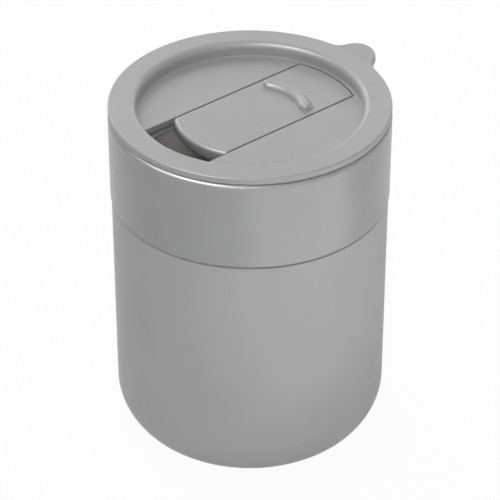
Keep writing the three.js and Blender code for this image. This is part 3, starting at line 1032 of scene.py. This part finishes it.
    def ridge_section(self, sizes, deck):
        """The ridge's section as radii and heights: a steep round front and a long, soft fall behind it."""
        front = sizes.ridge_front
        crest = front + sizes.ridge_crest
        rear = front + sizes.ridge_width
        rise = sizes.ridge_rise
        steps = sizes.ridge_edge_steps
        section = [(rear, deck - sizes.ridge_root), (front, deck - sizes.ridge_root)]
        for step in range(steps + 1):
            turn = math.pi / 2 * step / steps
            section.append((crest - sizes.ridge_crest * math.cos(turn), deck + rise * math.sin(turn)))
        for step in range(1, steps + 1):
            share = step / steps
            fall = (rise + sizes.ridge_sink) * (1 - math.cos(math.pi * share)) / 2
            section.append((crest + (rear - crest) * share, deck + rise - fall))
        return section


# Stage

class MUG_OT_set_stage(Operator):
    """Set the floor, the soft lights and the camera"""

    bl_idname = "mug.set_stage"
    bl_label = "Stage"

    def execute(self, context):
        settings = context.scene.mug_stage
        self.floor(settings)
        self.sky(context.scene, settings)
        self.softbox(settings, "top", to_right=0.0, elevation=82.0, width=0.5, height=0.5)
        self.softbox(settings, "back_left", to_right=-150.0, elevation=30.0, width=0.5, height=0.5)
        self.softbox(settings, "back_right", to_right=160.0, elevation=24.0, width=0.4, height=0.4)
        self.softbox(settings, "front", to_right=0.0, elevation=35.0, width=0.12, height=0.12)
        self.softbox(settings, "low_left", to_right=-60.0, elevation=18.0, width=0.3, height=0.3)
        self.softbox(settings, "low_right", to_right=38.0, elevation=8.0, width=0.4, height=0.4)
        strip = self.softbox(settings, "strip", to_right=-52.0, elevation=42.0, width=1.2, height=0.12)
        strip.visible_diffuse = False
        self.light_only(strip, "cup")
        high = self.softbox(settings, "high_strip", to_right=-55.0, elevation=60.0, width=0.5, height=0.3)
        high.visible_diffuse = False
        self.panel(settings)
        self.camera(context.scene, settings)
        context.scene.view_settings.view_transform = "Standard"
        return {"FINISHED"}

    def seen_directly(self, tree):
        """1 where the camera looks, also in gloss or through glass, and 0 for light that falls on things."""
        path = add_node(tree, "ShaderNodeLightPath", {})
        seen = path.outputs["Is Camera Ray"]
        for ray in ("Is Glossy Ray", "Is Transmission Ray"):
            either = add_node(tree, "ShaderNodeMath", {0: seen, 1: path.outputs[ray]}, operation="MAXIMUM")
            seen = either.outputs["Value"]
        return seen

    def mix_shaders(self, tree, factor, first, second):
        """A shader that goes from the first to the second with a factor from 0 to 1."""
        values = {"Fac": factor, 1: first.outputs[0], 2: second.outputs[0]}
        return add_node(tree, "ShaderNodeMixShader", values).outputs["Shader"]

    def floor(self, settings):
        """A wide pale floor that keeps the mug's shadow."""
        bpy.ops.object.select_all(action="DESELECT")
        bpy.ops.mesh.primitive_plane_add(size=settings.floor_size, location=ORIGIN)
        floor = bpy.context.view_layer.objects.active
        floor.name = "floor"
        material = bpy.data.materials.new("pale floor")
        tree = empty_tree(material)
        paint = add_node(tree, "ShaderNodeBsdfDiffuse", {"Color": opaque(settings.floor)})
        glow = add_node(tree, "ShaderNodeEmission", {"Color": opaque(settings.background), "Strength": 1.0})
        values = {0: self.seen_directly(tree), 1: 1.0 - settings.floor_shadow}
        share = add_node(tree, "ShaderNodeMath", values, operation="MULTIPLY")
        mixed = self.mix_shaders(tree, share.outputs["Value"], paint, glow)
        add_node(tree, "ShaderNodeOutputMaterial", {"Surface": mixed})
        floor.data.materials.append(material)

    def sky(self, scene, settings):
        """Even light from all round, behind which the camera sees the plain background."""
        world = bpy.data.worlds.new("studio")
        tree = empty_tree(world)
        light = add_node(tree, "ShaderNodeBackground", {"Color": opaque(WHITE), "Strength": settings.sky})
        seen = add_node(tree, "ShaderNodeBackground", {"Color": opaque(settings.background), "Strength": 1.0})
        mixed = self.mix_shaders(tree, self.seen_directly(tree), light, seen)
        add_node(tree, "ShaderNodeOutputWorld", {"Surface": mixed})
        scene.world = world

    def direction(self, settings, to_right, elevation):
        """From the mug, by the angles to the right of the camera and above the horizon."""
        around = settings.azimuth + to_right
        level = math.cos(elevation)
        return Vector((math.sin(around) * level, -math.cos(around) * level, math.sin(elevation)))

    def place(self, settings, to_right, elevation, distance):
        """A place in that direction from the point that the camera looks at."""
        aim = Vector((0.0, 0.0, settings.aim_height))
        return aim + distance * self.direction(settings, to_right, elevation)

    def area_light(self, name, power, place, turn, width, height):
        """A rectangular light that the camera doesn't see."""
        bpy.ops.object.light_add(type="AREA", location=place, rotation=turn)
        light = bpy.context.view_layer.objects.active
        light.name = name
        light.data.shape = "RECTANGLE"
        light.data.size = width
        light.data.size_y = height
        light.data.energy = power
        light.visible_camera = False
        return light

    def softbox(self, settings, name, to_right, elevation, width, height):
        """A light that faces the mug. The setting of this name is its power, its angles are in degrees."""
        place = self.place(settings, math.radians(to_right), math.radians(elevation), LIGHT_DISTANCE)
        turn = (place - LIGHT_TARGET).to_track_quat("Z", "Y").to_euler()
        label = name.replace("_", " ") + " light"
        return self.area_light(label, getattr(settings, name), place, turn, width, height)

    def light_only(self, light, piece):
        """Lets a light fall on one piece alone."""
        lit = bpy.data.collections.new(f"lit by the {light.name}")
        lit.objects.link(bpy.data.objects[piece])
        light.light_linking.receiver_collection = lit

    def panel(self, settings):
        """A light panel that lies on the floor in front of the mug, out of the picture."""
        place = self.place(settings, PANEL_SIDE, 0.0, PANEL_DISTANCE)
        place.z = PANEL_HEIGHT
        face_up = (math.pi, 0.0, settings.azimuth + PANEL_SIDE)
        self.area_light("low panel", settings.panel, place, face_up, width=0.24, height=0.12)

    def camera(self, scene, settings):
        """The camera at the photograph's angle."""
        place = self.place(settings, 0.0, settings.elevation, settings.distance)
        back = self.direction(settings, 0.0, settings.elevation)
        turn = back.to_track_quat("Z", "Y").to_euler()
        bpy.ops.object.camera_add(location=place, rotation=turn)
        camera = bpy.context.view_layer.objects.active
        camera.data.lens = settings.lens
        camera.data.sensor_width = SENSOR_WIDTH
        scene.camera = camera


class MUG_PT_travel_mug(Panel):
    """Lists the mug's pieces and the stage in the order in which they are made"""

    bl_idname = "MUG_PT_travel_mug"
    bl_label = "Travel Mug"
    bl_space_type = "VIEW_3D"
    bl_region_type = "UI"
    bl_category = "Travel Mug"

    def draw(self, context):
        column = self.layout.column(align=True)
        for operator in operators:
            column.operator(operator.bl_idname)


groups = {
    "mug_fineness": MugFineness,
    "mug_sleeve": MugSleeveSizes,
    "mug_cup": MugCupSizes,
    "mug_lid": MugLidSizes,
    "mug_seal": MugSealSizes,
    "mug_shutter": MugShutterSizes,
    "mug_finishes": MugFinishes,
    "mug_stage": MugStageSettings,
}

operators = (
    MUG_OT_build_sleeve,
    MUG_OT_build_cup,
    MUG_OT_build_lid,
    MUG_OT_build_seal_ring,
    MUG_OT_build_shutter,
    MUG_OT_set_stage,
)


def register():
    for name, group in groups.items():
        bpy.utils.register_class(group)
        setattr(bpy.types.Scene, name, PointerProperty(type=group))
    for operator in operators:
        bpy.utils.register_class(operator)
    bpy.utils.register_class(MUG_PT_travel_mug)


def unregister():
    bpy.utils.unregister_class(MUG_PT_travel_mug)
    for operator in reversed(operators):
        bpy.utils.unregister_class(operator)
    for name, group in reversed(groups.items()):
        delattr(bpy.types.Scene, name)
        bpy.utils.unregister_class(group)


def main():
    register()
    bpy.ops.mug.build_sleeve()
    bpy.ops.mug.build_cup()
    bpy.ops.mug.build_lid()
    bpy.ops.mug.build_seal_ring()
    bpy.ops.mug.build_shutter()
    bpy.ops.mug.set_stage()


if __name__ == "__main__":
    main()
